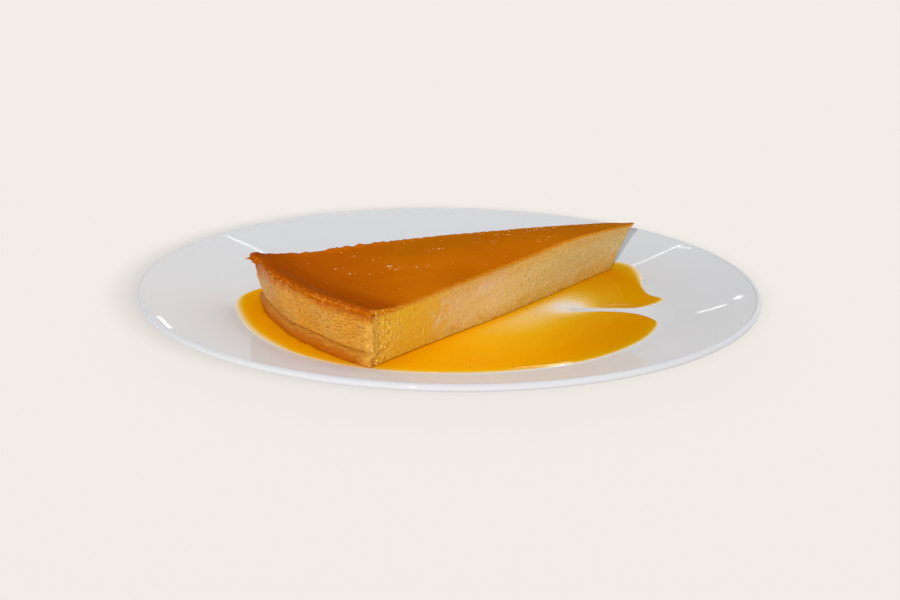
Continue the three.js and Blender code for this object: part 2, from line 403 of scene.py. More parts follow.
def outer_relief(across, height):
    """How far the outer face stands off the slice's length: foot layer, groove and belly."""
    level = groove_level(across)
    foot = foot_bulge * (1 - smoothstep(height, level - 2 * groove_width, level + groove_width))
    groove = groove_depth * bell(height - level, groove_width)
    share = height / slice_height
    belly = belly_rise * math.sin(math.pi * share)
    wave = 0.25 * mm * math.sin(9 * across + 6 * share)
    return foot - groove + belly + wave


def plan_point(along, across, height, outwards=0.0, sideways=0.0):
    """The place in plan of a point of the slice, pushed out of the outer face and of the cuts."""
    share = height / slice_height
    below = 1 - clamp(share)
    backward = clamp((short_start - across) / (1 + short_start)) ** short_power
    reach = slice_length - backward * (back_corner_short + back_corner_undercut * below) + outwards
    angle = across * slice_half_angle
    wave = 0.3 * mm * math.sin(11 * along + 4 * share + 2 * across) * math.sin(math.pi * along)
    side = across * (wave + sideways)
    tip_back = below**tip_undercut_power
    tip_x = tip_undercut[0] * tip_back
    tip_y = tip_undercut[1] * tip_back + across * tip_half_width
    return lerp(tip_x, reach * math.cos(angle), along), lerp(tip_y, reach * math.sin(angle), along) + side


def plate_level(radius):
    """Height of the plate's upper face at this radius."""
    if radius < floor_radius:
        return floor_level
    turn = min(math.asin(min(1, (radius - floor_radius) / wall_bend)), wall_slope)
    bend_rise = wall_bend * (1 - math.cos(turn))
    straight = max(0, radius - floor_radius - wall_bend * math.sin(wall_slope))
    return floor_level + bend_rise + straight * math.tan(wall_slope)


cut_steps = 370
face_steps = 216
tip_steps = 4
wall_rows = 46
cap_rows = 6
ring_steps = 2 * cut_steps + face_steps + tip_steps
cap_draw_in = 0.3  # how far a cap's innermost ring stops short of the outer face


def ring_place(step):
    """along and across of a step round the wedge: front cut, outer face, back cut, tip."""
    if step <= cut_steps:
        return step / cut_steps, 1.0
    step -= cut_steps
    if step <= face_steps:
        return 1.0, math.cos(math.pi * step / face_steps)
    step -= face_steps
    if step <= cut_steps:
        return 1 - step / cut_steps, -1.0
    return 0.0, -1 + 2 * (step - cut_steps) / tip_steps


def cut_relief(along, across, height):
    """Relief of a cut face in millimetres, how deep its pores are, and how lumpy it is."""
    run = along * slice_length / mm
    rise = height / mm
    end = slice_length / mm
    side = 17.0 * across
    drag = 0.14 * wander(0.07 * run + 0.05 * rise, 0.3 * rise, side)
    curd = 0.07 * wander(0.5 * run + 0.25 * rise, 0.55 * rise - 0.25 * run, side, 4)
    pore = wide_pore * pits(0.55 * run, 0.6 * rise, side, 0.22)
    pore += small_pore * pits(1.3 * run, 1.4 * rise, side, 0.3)
    corner = smoothstep(run + 2.5 * wander(0.3 * run, 0.35 * rise, side + 9), end - 15, end - 6)
    lumps = corner * wander(0.62 * run, 0.7 * rise, side + 3, 4)
    return drag + curd - pore + front_crag * lumps, pore / (wide_pore + small_pore), lumps


def face_relief(across, height):
    """Relief of the outer face in millimetres, how deep its flat pits are, and how lumpy it is."""
    run = across * slice_length * slice_half_angle / mm
    rise = height / mm
    end = face_half_width / mm
    slow = 0.13 * wander(0.12 * run, 0.15 * rise, 31)
    curd = 0.045 * wander(0.7 * run, 1.0 * rise, 33, 4)
    level = groove_level(across) / mm
    above = smoothstep(rise, level + 0.5, level + 2)
    often = 0.16 + 0.4 * smoothstep(run, -8, 25)
    pit = wide_pit * pits(0.40 * run, 1.0 * rise, 35, often)
    pit += small_pit * pits(0.8 * run, 1.9 * rise, 37, often)
    pit *= above
    corner = smoothstep(abs(run) + 1.2 * wander(0.5 * run, 0.5 * rise, 41), end - 5, end - 1)
    lumps = corner * wander(0.8 * run, 0.8 * rise, 39, 4)
    crag = (front_crag if run > 0 else back_crag) * lumps
    return slow + curd - pit + crag, pit / (wide_pit + small_pit), lumps


def ring_index(vertex):
    """Which step of its ring a point of the tube is."""
    return round(math.atan2(vertex.co.y, vertex.co.x) / (2 * math.pi) * ring_steps) % ring_steps


def perimeter(along, across):
    """Length round the wedge in millimetres: front cut, outer face, back cut."""
    cut = slice_length / mm
    half_face = cut * slice_half_angle
    if along < 1:
        return along * cut if across > 0 else 2 * half_face + (2 - along) * cut
    return cut + (1 - across) * half_face


def shape_custard(bm):
    """Turns a tube of rings into the wedge: foot cap, walls and top cap."""
    names = ("skin", "pit", "lump", "soak", "sunk", "rise", "reach", "groove", "corner")
    layers = [bm.verts.layers.float.new(name) for name in names]
    skin, pit, lump, soak, sunk, rise, reach, groove, corner = layers
    weave = bm.verts.layers.float_vector.new("weave")
    for vertex in bm.verts:
        along, across = ring_place(ring_index(vertex))
        row = round(vertex.co.z)
        inward = max(-row, row - wall_rows, 0) / cap_rows
        seam_height = top_height(along, across) - caramel_depth(along, across)
        at_face = at_skin(along)
        height = clamp(row / wall_rows) * seam_height
        cut, cut_pit, cut_lump = cut_relief(along, across, height)
        face, face_pit, face_lump = face_relief(across, height)
        calm = smoothstep(seam_height - height, 0, 0.9 * mm) * smoothstep(height, 0, 0.5 * mm)
        outwards = outer_relief(across, height) + face * mm * calm
        sideways = cut * mm * calm * smoothstep(along, 0, 0.02)
        vertex[skin] = smoothstep(along, 0.965, 1.0)
        vertex[pit] = lerp(cut_pit, face_pit, at_face)
        vertex[lump] = lerp(cut_lump, face_lump, at_face)
        below_top = top_height(along, across) - height
        vertex[soak] = below_top / stain_depth(along, across)
        vertex[sunk] = below_top / mm
        vertex[rise] = height / mm
        vertex[reach] = along * slice_length / mm
        vertex[groove] = (height - groove_level(across)) / mm
        vertex[corner] = bell(perimeter(along, across) - slice_length / mm, 3.5)
        vertex[weave] = Vector((perimeter(along, across), height / mm, 0))
        if inward:
            along *= 1 - cap_draw_in * inward
            across *= 1 - inward
            if row > 0:
                height = top_height(along, across) - caramel_depth(along, across)
                height -= 0.25 * mm * inward
        x, y = plan_point(along, across, height, outwards, sideways)
        vertex.co = to_plate @ Vector((x, y, height))
        rest = plate_level(math.hypot(vertex.co.x, vertex.co.y)) + 0.05 * mm
        vertex.co.z = max(vertex.co.z, rest)


def attribute(tree, name, output="Fac"):
    return node(tree, "ShaderNodeAttribute", attribute_name=name).outputs[output]


def stretched(tree, place, along, across, turn=0.0):
    """A place measured in stretched units, along a direction turned from the first axis."""
    inputs = {"Vector": place, "Scale": (along, across, 1), "Rotation": (0, 0, math.radians(turn))}
    return node(tree, "ShaderNodeMapping", inputs, vector_type="TEXTURE").outputs[0]


def soaked(tree, soak, uneven, place, body, skin):
    """Colours the body as the caramel stained it: dark at the top, fading below the dark layer."""
    stain = mix_colour(tree, skin, *faint_soak)
    wandering = reckon(tree, "ADD", soak, spread(tree, uneven, 0.25, 0.75, -0.22, 0.22))
    near = spread(tree, wandering, 0.85, 1.45, 1, 0)
    faded = mix_colour(tree, near, body, stain)
    dark = mix_colour(tree, skin, *full_soak)
    soaked_through = mix_colour(tree, spread(tree, wandering, 0.45, 1.0, 1, 0), faded, dark)
    curds = reckon(tree, "MULTIPLY", spread(tree, grain(tree, place, 560, 4, 0.7), 0.50, 0.66), skin)
    curds = reckon(tree, "MULTIPLY", curds, reckon(tree, "MULTIPLY", near, 0.6))
    return mix_colour(tree, curds, soaked_through, soaked_curd)


def cut_colour(tree, uneven, patches, weave):
    """Colour of the cut faces, colour of their palest curds and painted glints, and the knife's strokes on
    them.
    """
    rise = attribute(tree, "rise")
    reach = attribute(tree, "reach")
    cut = mix_colour(tree, spread(tree, patches, 0.40, 0.60), *cut_shades)
    toward_tip = mix_colour(tree, spread(tree, reach, 35, 55), *tip_shades)
    cut = mix_colour(tree, spread(tree, reach, 60, 87, 0.85, 0), cut, toward_tip)
    cut = mix_colour(tree, spread(tree, attribute(tree, "sunk"), 0.6, 6.5, 0.85, 0), cut, tea_stain)
    wet = reckon(tree, "ADD", rise, spread(tree, uneven, 0.3, 0.7, -2.2, 2.2))
    wet = reckon(tree, "SUBTRACT", wet, spread(tree, reach, 8, 40, 2.0, 0))
    cut = mix_colour(tree, spread(tree, wet, 0.5, 6.5, 0.92, 0), cut, syrup_stain)
    stain = spread(tree, reckon(tree, "ADD", reach, spread(tree, uneven, 0.3, 0.7, -7, 7)), 110, 128)
    cut = mix_colour(tree, reckon(tree, "MULTIPLY", stain, 0.92), cut, corner_stain)
    # Pale curd and painted glints: the blotches and strokes are lightened toward it.
    bright = mix_colour(tree, spread(tree, reach, 105, 128), *pale_curd_and_glint)
    blotches = grain(tree, stretched(tree, weave, 2.6, 1.5, 20), 1.0, 4, 0.7)
    cut = mix_colour(tree, spread(tree, blotches, 0.30, 0.46, 0.3, 0), cut, dull_blotch)
    cut = mix_colour(tree, spread(tree, blotches, 0.54, 0.70, 0, 0.4), cut, bright)
    strokes = grain(tree, stretched(tree, weave, 1.5, 0.55, -25), 1.0, 3, 0.6)
    cut = mix_colour(tree, spread(tree, strokes, 0.45, 0.62, 0, 0.35), cut, bright)
    return cut, bright, mix_colour(tree, 0.5, strokes, blotches)


def skin_colour(tree, fine, patches, weave):
    """Colour of the outer face over its foot layer, of its palest curds, and its dark dashes."""
    run = node(tree, "ShaderNodeSeparateXYZ", {"Vector": weave}).outputs[0]
    shell = mix_colour(tree, spread(tree, patches, 0.35, 0.65), *skin_shades)
    shell = mix_colour(tree, spread(tree, run, 200, 239, 0, 0.75), shell, back_skin)
    mottled = mix_colour(tree, spread(tree, run, 165, 215), *skin_mottle)
    shell = mix_colour(tree, spread(tree, fine, 0.54, 0.70, 0, 0.4), shell, mottled)
    dashes = grain(tree, stretched(tree, weave, 1.9, 0.36), 1.0, 2, 0.5)
    often = spread(tree, run, 158, 222, 0.56, 0.61)
    dash = spread(tree, reckon(tree, "SUBTRACT", dashes, often), -0.01, 0.045)
    return mix_colour(tree, reckon(tree, "MULTIPLY", dash, 0.7), shell, skin_dash), mottled, dash


def with_foot(tree, body, skin, uneven, fine):
    """The body with its darker foot layer, and painted shade along the crease in the groove over it."""
    above = reckon(tree, "ADD", attribute(tree, "groove"), spread(tree, uneven, 0.3, 0.7, -0.3, 0.3))
    foot = mix_colour(tree, spread(tree, above, -3.8, -1.8), *foot_shades)
    foot = mix_colour(tree, spread(tree, above, -1.2, -0.45), foot, foot_ledge)
    foot = mix_colour(tree, spread(tree, fine, 0.50, 0.70, 0, 0.22), foot, foot_curd)
    below = reckon(tree, "MULTIPLY", spread(tree, above, -0.5, 0.5, 0.95, 0), skin)
    body = mix_colour(tree, below, body, foot)
    # Painted shade along the crease.
    from_crease = reckon(tree, "ABSOLUTE", reckon(tree, "SUBTRACT", above, 0.25))
    painted_crease = spread(tree, from_crease, 0.1, 0.8, 0.8, 0)
    return mix_colour(tree, reckon(tree, "MULTIPLY", painted_crease, skin), body, crease_painted_shade)


def custard_surface():
    gloss = {"IOR": 1.4, "Specular_IOR_Level": 0.18, "Subsurface_Weight": 0.15}
    glow = {"Subsurface_Radius": (1.0, 0.5, 0.2), "Subsurface_Scale": 1.5 * mm}
    material, tree, shader, place = new_material("custard", **gloss, **glow)
    weave = attribute(tree, "weave", "Vector")
    skin = attribute(tree, "skin")
    lump = attribute(tree, "lump")
    patches = grain(tree, place, 70, 4, 0.55)
    uneven = grain(tree, place, 210, 4)
    fine = grain(tree, place, 1300, 3)
    cut, bright, cut_strokes = cut_colour(tree, uneven, patches, weave)
    shell, mottled, dash = skin_colour(tree, fine, patches, weave)
    body = mix_colour(tree, skin, cut, shell)
    # Painted light on the raised lumps and painted shade in the hollows.
    body = mix_colour(tree, spread(tree, lump, 0.05, 0.45, 0, 0.6), body, lit_lump_curd)
    body = mix_colour(tree, spread(tree, lump, -0.45, -0.05, 0.6, 0), body, shaded_hollow_curd)
    # Painted glints: fine specks lightened toward the pale curd and the skin's mottle.
    pale_and_glint_grain = mix_colour(tree, skin, bright, mottled)
    body = mix_colour(tree, spread(tree, fine, 0.58, 0.75, 0, 0.4), body, pale_and_glint_grain)
    # Painted shade: the pits are darkened by how deep they are.
    pore = spread(tree, attribute(tree, "pit"), 0.15, 0.9, 0, 0.5)
    body = mix_colour(tree, pore, body, pore_painted_shade)
    body = with_foot(tree, body, skin, uneven, fine)
    # Painted light: the front corner is lightened above the foot, softening the dark line of its shading.
    over_foot = spread(tree, attribute(tree, "rise"), 0.3, 1.8, 0, 0.6)
    corner_lift = reckon(tree, "MULTIPLY", attribute(tree, "corner"), over_foot)
    body = mix_colour(tree, corner_lift, body, corner_painted_light)
    body = soaked(tree, attribute(tree, "soak"), uneven, place, body, skin)
    tree.links.new(body, shader.inputs["Base Color"])
    tree.links.new(spread(tree, uneven, 0.3, 0.7, 0.28, 0.55), shader.inputs["Roughness"])
    dented = reckon(tree, "SUBTRACT", 0.5, reckon(tree, "MULTIPLY", dash, 0.8))
    streaks = bumped(tree, mix_colour(tree, skin, cut_strokes, dented), 0.7, 0.7 * mm)
    crumb = bumped(tree, grain(tree, place, 1700, 3), 0.6, 0.2 * mm, Normal=streaks)
    tree.links.new(crumb, shader.inputs["Normal"])
    return material


custard_bm = bmesh.new()
bmesh.ops.create_circle(custard_bm, segments=ring_steps, radius=1, cap_ends=False)
bmesh.ops.translate(custard_bm, verts=custard_bm.verts, vec=(0, 0, -cap_rows))
rim = list(custard_bm.edges)
for _ in range(wall_rows + 2 * cap_rows):
    grown_ring = bmesh.ops.extrude_edge_only(custard_bm, edges=rim)["geom"]
    raised = [item for item in grown_ring if isinstance(item, bmesh.types.BMVert)]
    rim = [item for item in grown_ring if isinstance(item, bmesh.types.BMEdge)]
    bmesh.ops.translate(custard_bm, verts=raised, vec=(0, 0, 1))
shape_custard(custard_bm)
bmesh.ops.remove_doubles(custard_bm, verts=custard_bm.verts, dist=0.002 * mm)
bmesh.ops.dissolve_degenerate(custard_bm, edges=custard_bm.edges, dist=0.001 * mm)
custard = finish_mesh(custard_bm, "custard_wedge")
custard.data.materials.append(custard_surface())
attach(custard, "root")
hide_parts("custard")

# ---- Caramel top -------------------------------------------------------------------------
# The dark layer on the wedge: burnt sugar poured in the tin first, which soaked into the
# custard as it baked and now lies on top. It is smooth and wet, dished inside the lip that
# the tin's wall left, ragged along its lower limit, and torn to a fin at the back corner.

caramel_along_steps = 240
caramel_across_steps = 130
caramel_down_steps = 6
caramel_proud = 0.06 * mm
fin_reach = 1.1 * mm
fin_tatter = 2.4 * mm
rear_lumps = 0.75 * mm
rear_raise = 0.32 * mm
step_crowding = 1.7
caramel_shades = ((0.59, 0.150, 0.0002), (0.52, 0.124, 0.0001))
narrow_caramel = (0.50, 0.142, 0.0004)  # toward the tip
tip_caramel = (0.50, 0.165, 0.004)
far_caramel = (0.43, 0.124, 0.0003)
warm_caramel = (0.475, 0.100, 0.0002)
# Darker in the hollow inside the lip: deeper syrup, and painted shade.
hollow_shade_caramel = (0.42, 0.078, 0.0001)
# Painted shade on the crest, against the light that falls strongly on it.
crest_shade_caramel = (0.29, 0.052, 0.0003)
# Torn skin, and painted light where the crest faces the light.
torn_and_lit_caramel = (0.58, 0.21, 0.015)
# Paler along the cut edge: thinner caramel there, and painted highlight on the rounded edge.
pale_brink_and_highlight = (0.62, 0.235, 0.016)
mottled_caramel = (0.68, 0.24, 0.008)
caramel_side = (0.60, 0.285, 0.038)


def grid_cube(bm, steps):
    """A unit cube cut into that many steps along each axis."""
    bmesh.ops.create_cube(bm, size=1)
    for axis, count in enumerate(steps):
        lines = [e for e in bm.edges if abs(e.verts[0].co[axis] - e.verts[1].co[axis]) > 0.5]
        bmesh.ops.subdivide_edges(bm, edges=lines, cuts=count - 1, use_grid_fill=True)


def shape_caramel(bm):
    """Turns the gridded cube into the layer, and notes what its colours go by."""
    names = ("syrup", "warm", "far", "crest", "brink", "side", "soak", "skin", "reach")
    layers = [bm.verts.layers.float.new(name) for name in names]
    syrup, warm, far, crest, brink, side, soak, skin, reach = layers
    for vertex in bm.verts:
        along = 1 - (0.5 - vertex.co.x) ** step_crowding
        across = math.sin(vertex.co.y * math.pi)
        rise = vertex.co.z + 0.5
        top = top_height(along, across)
        height = top - (1 - rise) * caramel_depth(along, across)
        from_edge = (1 - along) * slice_length
        run = along * slice_length / mm
        width = across * slice_length * slice_half_angle / mm
        at_wall = bell(from_edge, 1.2 * mm)
        slow = 0.05 * mm * wander(0.1 * run, 0.1 * width * along, 12)
        fine = 0.015 * mm * wander(0.5 * run, 0.5 * width * along, 14)
        curl = 0.02 * mm * math.sin(2.6 * from_edge / mm + 3 * wander(0.1 * run, 0.12 * width, 16))
        height += (slow + fine + curl * bell(from_edge - 9 * mm, 5 * mm)) * rise
        tuck = smoothstep(rise, 0, 0.4)
        edge_wander = 0.18 * mm * wander(0.9 * width, 1.5 * height / mm, 21, 4) * tuck
        tooth = wander(1.3 * width, 1.7 * height / mm, 25, 4)
        torn = fin(across) * (fin_reach * rise + fin_tatter * tooth * tuck)
        proud = lerp(-0.06, 0.10, tuck) * mm
        outwards = outer_relief(across, height) + proud + edge_wander + torn * at_wall
        cut_wander = 0.12 * mm * wander(0.8 * run, 1.2 * height / mm, 23, 4)
        nicks = max(0, wander(0.45 * run, 0.3, 51, 4)) * bell(1 - abs(across), 0.03)
        height -= 0.7 * mm * nicks * rise * smoothstep(-across, -1, 0)
        bumps = clamp(0.45 + wander(0.3 * run, 0.7, 57, 3)) * bell(run - 122, 20) * bell(1 + across, 0.10)
        raised = bell(1 + across, 0.07) * smoothstep(run, 15, 40) * (1 - smoothstep(run, 136, 148))
        height += (rear_lumps * bumps + rear_raise * raised) * rise
        sideways = lerp(-0.05 * mm, caramel_proud + cut_wander, tuck)
        x, y = plan_point(along, across, height, outwards, sideways)
        vertex.co = to_plate @ Vector((x, y, height))
        # The syrup band: the hollow inside the lip, darkened as deeper syrup and as painted shade.
        vertex[syrup] = bell(from_edge - 7 * mm, 7.5 * mm) * smoothstep(from_edge, 0, 1.5 * mm)
        # The crest band, which the glaze darkens as painted shade.
        vertex[crest] = bell(from_edge, 1.3 * mm + 3 * mm * fin(across))
        warm_limit = 33 - 18 * across + 5 * wander(0.06 * run, 0.08 * width, 61)
        vertex[warm] = 1 - smoothstep(from_edge / mm, warm_limit - 14, warm_limit + 12)
        vertex[far] = smoothstep(-across, -0.3, 0.8) * smoothstep(from_edge, 25 * mm, 50 * mm)
        from_cut = (1 - across) * run * slice_half_angle
        vertex[brink] = bell(from_cut, max(0.3, 0.9 + 0.8 * wander(0.45 * run, 3.1, 71)))
        vertex[brink] *= smoothstep(run, 10, 45)
        vertex[side] = 1 - rise
        vertex[soak] = (top - height) / stain_depth(along, across)
        vertex[reach] = run
        vertex[skin] = at_skin(along)


def caramel_glaze():
    gloss = {"IOR": 1.42, "Specular_IOR_Level": 0.0, "Coat_IOR": 1.42, "Coat_Roughness": 0.14}
    material, tree, shader, place = new_material("caramel_top", **gloss)
    skin = attribute(tree, "skin")
    side = attribute(tree, "side")
    reach = attribute(tree, "reach")
    crest = attribute(tree, "crest")
    cloud = grain(tree, place, 32, 4, 0.55)
    uneven = grain(tree, place, 210, 4)
    top = mix_colour(tree, spread(tree, cloud, 0.3, 0.7), *caramel_shades)
    top = mix_colour(tree, spread(tree, reach, 25, 85, 0.9, 0), top, narrow_caramel)
    top = mix_colour(tree, spread(tree, reach, 2, 30, 1, 0), top, tip_caramel)
    top = mix_colour(tree, reckon(tree, "MULTIPLY", attribute(tree, "far"), 0.6), top, far_caramel)
    top = mix_colour(tree, reckon(tree, "MULTIPLY", attribute(tree, "warm"), 0.9), top, warm_caramel)
    # The hollow inside the lip: deeper syrup, and painted shade on its slope.
    top = mix_colour(tree, spread(tree, attribute(tree, "syrup"), 0.05, 0.9), top, hollow_shade_caramel)
    # Painted shade: the crest is darkened against the light falling on it.
    top = mix_colour(tree, reckon(tree, "MULTIPLY", crest, 0.9), top, crest_shade_caramel)
    # Lighter patches on the crest: torn skin, and painted light on its upper side.
    torn = reckon(tree, "MULTIPLY", spread(tree, grain(tree, place, 480, 4, 0.7), 0.55, 0.70), crest)
    top = mix_colour(tree, reckon(tree, "MULTIPLY", torn, 0.7), top, torn_and_lit_caramel)
    # Paler along the cut edge: thinner caramel, and painted highlight.
    paler = spread(tree, grain(tree, place, 700, 3), 0.35, 0.65, 0.55, 1.0)
    paler = reckon(tree, "MULTIPLY", attribute(tree, "brink"), paler)
    top = mix_colour(tree, paler, top, pale_brink_and_highlight)
    mottle = spread(tree, grain(tree, place, 420, 4, 0.7), 0.60, 0.80, 0, 0.2)
    top = mix_colour(tree, mottle, top, mottled_caramel)
    body = mix_colour(tree, skin, caramel_side, faint_soak[1])
    stained = soaked(tree, attribute(tree, "soak"), uneven, place, body, skin)
    layer = mix_colour(tree, spread(tree, side, 0.0, 0.2), top, stained)
    tree.links.new(layer, shader.inputs["Base Color"])
    tree.links.new(spread(tree, cloud, 0.3, 0.75, 0.3, 0.5), shader.inputs["Roughness"])
    tree.links.new(spread(tree, side, 0.0, 0.2, 0.24, 0.0), shader.inputs["Coat Weight"])
    rough_side = reckon(tree, "MULTIPLY", grain(tree, place, 560, 4, 0.7), spread(tree, side, 0.0, 0.2))
    pimple = reckon(tree, "MULTIPLY", grain(tree, place, 800, 3), 0.2)
    height = reckon(tree, "ADD", pimple, reckon(tree, "ADD", torn, rough_side))
    relief = bumped(tree, height, 0.6, 0.2 * mm)
    tree.links.new(relief, shader.inputs["Normal"])
    tree.links.new(relief, shader.inputs["Coat Normal"])
    return material


caramel_bm = bmesh.new()
grid_cube(caramel_bm, (caramel_along_steps, caramel_across_steps, caramel_down_steps))
shape_caramel(caramel_bm)
bmesh.ops.remove_doubles(caramel_bm, verts=caramel_bm.verts, dist=0.0005 * mm)
caramel = finish_mesh(caramel_bm, "caramel_layer")
caramel.data.materials.append(caramel_glaze())
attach(caramel, "root")
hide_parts("caramel_top")

# ---- Loose caramel -----------------------------------------------------------------------
# The thin syrup that ran off the wedge when the tin was turned out. It lies level on the
# plate's floor, climbs a little up the custard's foot, thins to nothing on the rising wall,
# and on the right breaks into two lobes with a bare channel between them.

pool_radius = 77.3 * mm
# Swells of the front arc: where and how wide in degrees, and how far out in millimetres.
pool_swells = ((246, 22, 3.6), (303, 18, 1.3), (195, 14, -1))
# Points of the rest of the pool's edge in millimetres, on from the right end of the arc.
front_lobe = ((72.2, -21.6), (66.5, -13.8), (55, -10.5), (48, -10.9), (43, -9.3))
back_lobe = ((43, -7.4), (48, -6.2), (57, -6.3), (68, -4.8), (78.2, 3.2), (74, 10.6), (72.8, 21))
round_tip = ((74, 34), (71, 46), (64, 51.5), (54, 50))
behind = ((36, 42.5), (12, 33.5), (-14, 25), (-40, 18.5), (-60, 15.5), (-70.5, 10), (-75.6, 1.5))
thin_way = Vector((-0.617, -0.787))  # along the front cut
thin_middle = Vector((0, 2.2))  # a point of the thin stretch's middle line, in millimetres
# Where the thin stretch beside the cut begins and ends, in millimetres along it and away from it.
thin_start = (-66, -24)
thin_end = (-10, 88)
thin_side = (34, 70)
thinning = 0.65
# Spots of the pool: place and reach in millimetres.
clearest_spot = (44.5, -8.5, 8)  # where the film is so thin that the glaze shows
tip_spot = (69, 40, 16)  # where it thins slowly to its edge behind the tip
pool_cell = 0.62 * mm
pool_hem = 1.2 * mm  # how far the pool's mesh runs on under the glaze and into the custard
meniscus = 2.0 * mm
foot_climb = 0.45 * mm
foot_climb_reach = 0.7 * mm
foot_shade_reach = 6 * mm
pool_film = 0.2 * mm
# Swellings near the left edge: place and reach in millimetres, and how high they stand.
pool_swellings = ((-52.6, -50.8, 3.0, 0.65), (-45.6, -56.8, 2.4, 0.5), (-49.2, -54.0, 1.5, 0.35))
syrup_shades = (  # how deep the syrup looks, and its colour there
    (0.0, (0.84, 0.78, 0.68)),
    (0.08, (0.88, 0.71, 0.44)),
    (0.18, (0.90, 0.61, 0.19)),
    (0.30, (0.93, 0.54, 0.06)),
    (0.45, (0.95, 0.48, 0.008)),
    (0.65, (0.95, 0.425, 0.0004)),
    (1.0, (0.94, 0.365, 0.0002)),
)
# Painted shade beside the custard.
syrup_shade_by_cut = (0.72, 0.25, 0.0003)
# Painted shade along the seam with the custard.
syrup_seam_shade = ((0.42, 0.105, 0.0005), (0.44, 0.165, 0.001))  # on the left and on the right


def smooth_loop(points, steps):
    """A closed curve through the points, with its bends evened out."""
    count = len(points)
    loop = []
    for i in range(count):
        before, start, end, after = (Vector(points[(i + k) % count]) for k in (-1, 0, 1, 2))
        gaps = ((before, start), (start, end), (end, after))
        lengths = [max((b - a).length, 1e-9) ** 0.5 for a, b in gaps]
        out = (start - before) / lengths[0] - (end - before) / (lengths[0] + lengths[1])
        out = (out + (end - start) / lengths[1]) * lengths[1]
        into = (end - start) / lengths[1] - (after - start) / (lengths[1] + lengths[2])
        into = (into + (after - end) / lengths[2]) * lengths[1]
        for k in range(steps):
            t = k / steps
            bend = (2 * t**3 - 3 * t**2 + 1) * start + (t**3 - 2 * t**2 + t) * out
            loop.append(bend + (3 * t**2 - 2 * t**3) * end + (t**3 - t**2) * into)
    return loop


def pool_outline():
    """The pool's edge: an uneven arc in front, then its lobes and the stretch behind the wedge."""
    points = []
    for degrees in range(186, 331, 12):
        swell = sum(amount * bell(degrees - at, reach) for at, reach, amount in pool_swells)
        radius = pool_radius + swell * mm
        angle = math.radians(degrees)
        points.append((radius * math.cos(angle), radius * math.sin(angle)))
    for x, y in front_lobe + back_lobe + round_tip + behind:
        points.append((x * mm, y * mm))
    return smooth_loop(points, 6)


def custard_foot():
    """The wedge's outline at the level of the pool."""
    outline = []
    for step in range(0, ring_steps, 3):
        along, across = ring_place(step)
        x, y = plan_point(along, across, pool_depth, outer_relief(across, pool_depth))
        outline.append((to_plate @ Vector((x, y, 0))).to_2d())
    return outline


def signed_distance(places, loop):
    """Distance of each place from a closed loop, positive inside it."""
    start = np.array([tuple(p) for p in loop])
    end = np.roll(start, -1, axis=0)
    near = np.full(len(places), np.inf)
    inside = np.zeros(len(places), bool)
    for a, b in zip(start, end):
        side = b - a
        share = np.clip(((places - a) @ side) / max(side @ side, 1e-18), 0, 1)
        gap = places - a - share[:, None] * side
        near = np.minimum(near, np.hypot(gap[:, 0], gap[:, 1]))
        crosses = (a[1] > places[:, 1]) != (b[1] > places[:, 1])
        if side[1]:
            inside ^= crosses & (places[:, 0] < a[0] + (places[:, 1] - a[1]) * side[0] / side[1])
    return np.where(inside, near, -near)


def nearness(x, y, spot):
    """How near this place is to the middle of a spot, 0 to 1."""
    return bell(math.hypot(x / mm - spot[0], y / mm - spot[1]), spot[2])


def thinness(x, y):
    """How thin the syrup is here because it drained away beside the front cut, 0 to 1."""
    place = Vector((x / mm, y / mm)) - thin_middle
    lengthways = place.dot(thin_way)
    crossways = abs(place.cross(thin_way))
    share = smoothstep(lengthways, *thin_start) * (1 - smoothstep(lengthways, *thin_end))
    return share * (1 - smoothstep(crossways, *thin_side))


def pool_thickness(x, y, from_edge):
    """Depth of the syrup here, given the distance from its edge."""
    level = floor_level + pool_depth - plate_level(math.hypot(x, y))
    depth = max(level, pool_film)
    depth *= 1 - thinning * thinness(x, y)
    depth += 0.012 * mm * wander(90 * x, 90 * y, 4, 2) * clamp(depth / mm)
    for *spot, height in pool_swellings:
        depth += height * mm * nearness(x, y, spot)
    depth *= smoothstep(from_edge, -0.3 * mm, meniscus)
    return depth if from_edge > 0 else 0.6 * from_edge


def shown_depth(x, y, edge, deep):
    """How deep the syrup looks here, 0 to 1, given how far its edge and the custard are."""
    radius = math.hypot(x, y)
    at_tip = nearness(x, y, tip_spot)
    level_share = clamp((floor_level + pool_depth - plate_level(radius)) / pool_depth, 0.2)
    level_share = max(level_share, 0.5 * at_tip)
    clear = clamp(0.84 * thinness(x, y) + 0.30 * nearness(x, y, clearest_spot))
    # Near the custard the syrup is drawn less clear, as painted shade.
    clear *= 1 - 0.4 * bell(min(deep, 0), 3 * mm)
    fade = 0.6 + 1.6 * smoothstep(radius, 66 * mm, 74 * mm)
    fade += 3.0 * smoothstep(-x, 45 * mm, 68 * mm) + 3.0 * at_tip
    return level_share**0.8 * (1 - clear) * smoothstep(edge, -0.3 * mm, fade * mm)


def painted_syrup_dimming(x, y):
    """Painted shade: how much darker the syrup is drawn here, towards its right and left ends."""
    dim = 0.29 * smoothstep(x, 5 * mm, 68 * mm) + 0.09 * smoothstep(-x, 0, 35 * mm)
    return dim + 0.06 * smoothstep(y, -25 * mm, 5 * mm) * smoothstep(-x, 30 * mm, 60 * mm)


